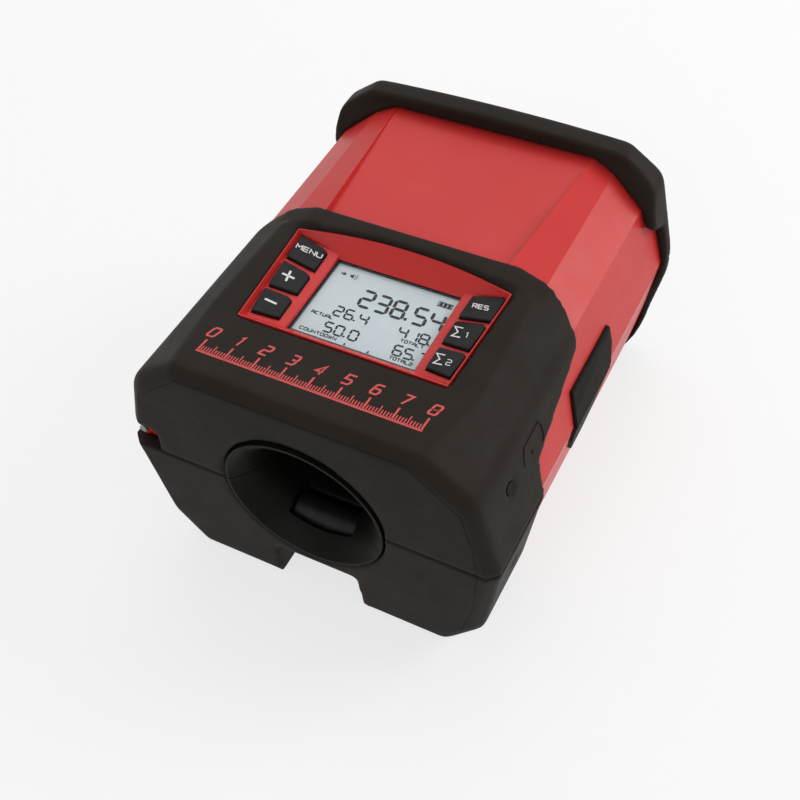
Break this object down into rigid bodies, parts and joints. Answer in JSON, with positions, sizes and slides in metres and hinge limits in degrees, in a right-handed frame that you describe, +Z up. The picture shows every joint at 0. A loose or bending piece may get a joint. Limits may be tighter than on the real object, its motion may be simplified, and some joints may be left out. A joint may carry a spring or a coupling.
{
  "type": "cable length counter",
  "caption": "Hand-held clamshell counter that a cable runs through: round funnel mouths, guide rollers, sprung measuring wheel, display with keys and a side hinge.",
  "frame": {"origin": "centre of the bounding box, on the plane that the end caps stand on", "axes": "+X to the right of the display, +Y along the cable way from the front mouth to the rear, +Z up"},
  "size_m": [0.141, 0.162, 0.104],
  "materials": {
    "black_plastic": "satin black moulded plastic",
    "funnel_plastic": "smooth dark plastic, worn shiny",
    "red_plastic": "satin red moulded plastic",
    "key_rubber": "soft black keys",
    "grip_rubber": "ribbed black rubber",
    "clear_window": "clear polycarbonate",
    "lcd_glass": "pale reflective LCD",
    "lcd_surround": "black film frame",
    "board_green": "solder mask",
    "steel": "bright turned steel",
    "zinc": "zinc plated",
    "roller_plastic": "black acetal",
    "frame_plastic": "dark grey moulded plastic",
    "arm_metal": "cast aluminium",
    "tread_rubber": "ribbed tread",
    "cell_jacket": "printed jacket, plain",
    "contact_metal": "nickel on spring brass"
  },
  "bodies": {
    "base": {"lower_shell": "red_plastic", "front_cap_lower": "black_plastic", "rear_cap_lower": "black_plastic", "cap_screws_lower": "zinc", "front_funnel_lower": "funnel_plastic", "rear_funnel_lower": "funnel_plastic", "funnel_screws_lower": "zinc", "roller_axles": "steel", "roller_frame": "frame_plastic", "frame_screws": "zinc", "hinge_pin": "steel", "grip_lower": "grip_rubber", "catch_magnets_lower": "steel", "battery_holder": "frame_plastic", "battery_cell_1": "cell_jacket", "battery_cell_2": "cell_jacket", "battery_contacts": "contact_metal", "battery_cover": "red_plastic", "battery_cover_screw": "zinc"},
    "lid": {"upper_shell": "red_plastic", "front_cap_upper": "black_plastic", "rear_cap_upper": "black_plastic", "cap_screws_upper": "zinc", "front_funnel_upper": "funnel_plastic", "rear_funnel_upper": "funnel_plastic", "funnel_screws_upper": "zinc", "display_bezel": "red_plastic", "display_window": "clear_window", "lcd_frame": "lcd_surround", "lcd_panel": "lcd_glass", "lcd_tray": "frame_plastic", "main_board": "board_green", "board_screws": "zinc", "buzzer": "frame_plastic", "keypad_mat": "key_rubber", "grip_upper": "grip_rubber", "catch_magnets_upper": "steel", "arm_bracket": "arm_metal", "bracket_screws": "zinc", "arm_pin": "steel", "arm_spring": "steel"},
    "arm": {"swing_arm": "arm_metal", "wheel_axle": "steel", "sensor_board": "board_green"},
    "wheel": {"measuring_wheel": "arm_metal", "wheel_tread": "tread_rubber", "wheel_bearings": "steel", "encoder_magnet": "lcd_surround"},
    "roller_front_body": {"roller_front": "roller_plastic"},
    "roller_front_middle_body": {"roller_front_middle": "roller_plastic"},
    "roller_rear_middle_body": {"roller_rear_middle": "roller_plastic"},
    "roller_rear_body": {"roller_rear": "roller_plastic"},
    "key_mode_body": {"key_mode": "key_rubber"},
    "key_plus_body": {"key_plus": "key_rubber"},
    "key_minus_body": {"key_minus": "key_rubber"},
    "key_clear_body": {"key_clear": "key_rubber"},
    "key_total_1_body": {"key_total_1": "key_rubber"},
    "key_total_2_body": {"key_total_2": "key_rubber"}
  },
  "joints": [
    {"name": "lid_hinge", "type": "hinge", "parent": "base", "child": "lid", "pos_m": [-0.066, 0, 0.058], "axis": [0, -1, 0], "range_deg": [0, 95]},
    {"name": "arm_swing", "type": "hinge", "parent": "lid", "child": "arm", "pos_m": [0, 0.056, 0.076], "axis": [-1, 0, 0], "range_deg": [0, 45], "stiffness_Nm_per_rad": 0.08, "springref_deg": -20.05},
    {"name": "wheel_spin", "type": "hinge", "parent": "arm", "child": "wheel", "pos_m": [0, 0.02477, 0.051], "axis": [1, 0, 0], "continuous": true},
    {"name": "roller_front_spin", "type": "hinge", "parent": "base", "child": "roller_front_body", "pos_m": [0, -0.067, 0.029], "axis": [1, 0, 0], "continuous": true},
    {"name": "roller_front_middle_spin", "type": "hinge", "parent": "base", "child": "roller_front_middle_body", "pos_m": [0, -0.02477, 0.029], "axis": [1, 0, 0], "continuous": true},
    {"name": "roller_rear_middle_spin", "type": "hinge", "parent": "base", "child": "roller_rear_middle_body", "pos_m": [0, 0.02477, 0.029], "axis": [1, 0, 0], "continuous": true},
    {"name": "roller_rear_spin", "type": "hinge", "parent": "base", "child": "roller_rear_body", "pos_m": [0, 0.067, 0.029], "axis": [1, 0, 0], "continuous": true},
    {"name": "key_mode_press", "type": "slide", "parent": "lid", "child": "key_mode_body", "axis": [0, 0, -1], "range_m": [0, 0.0009], "stiffness_N_per_m": 900, "springref_m": -0.0006},
    {"name": "key_plus_press", "type": "slide", "parent": "lid", "child": "key_plus_body", "axis": [0, 0, -1], "range_m": [0, 0.0009], "stiffness_N_per_m": 900, "springref_m": -0.0006},
    {"name": "key_minus_press", "type": "slide", "parent": "lid", "child": "key_minus_body", "axis": [0, 0, -1], "range_m": [0, 0.0009], "stiffness_N_per_m": 900, "springref_m": -0.0006},
    {"name": "key_clear_press", "type": "slide", "parent": "lid", "child": "key_clear_body", "axis": [0, 0, -1], "range_m": [0, 0.0009], "stiffness_N_per_m": 900, "springref_m": -0.0006},
    {"name": "key_total_1_press", "type": "slide", "parent": "lid", "child": "key_total_1_body", "axis": [0, 0, -1], "range_m": [0, 0.0009], "stiffness_N_per_m": 900, "springref_m": -0.0006},
    {"name": "key_total_2_press", "type": "slide", "parent": "lid", "child": "key_total_2_body", "axis": [0, 0, -1], "range_m": [0, 0.0009], "stiffness_N_per_m": 900, "springref_m": -0.0006}
  ]
}
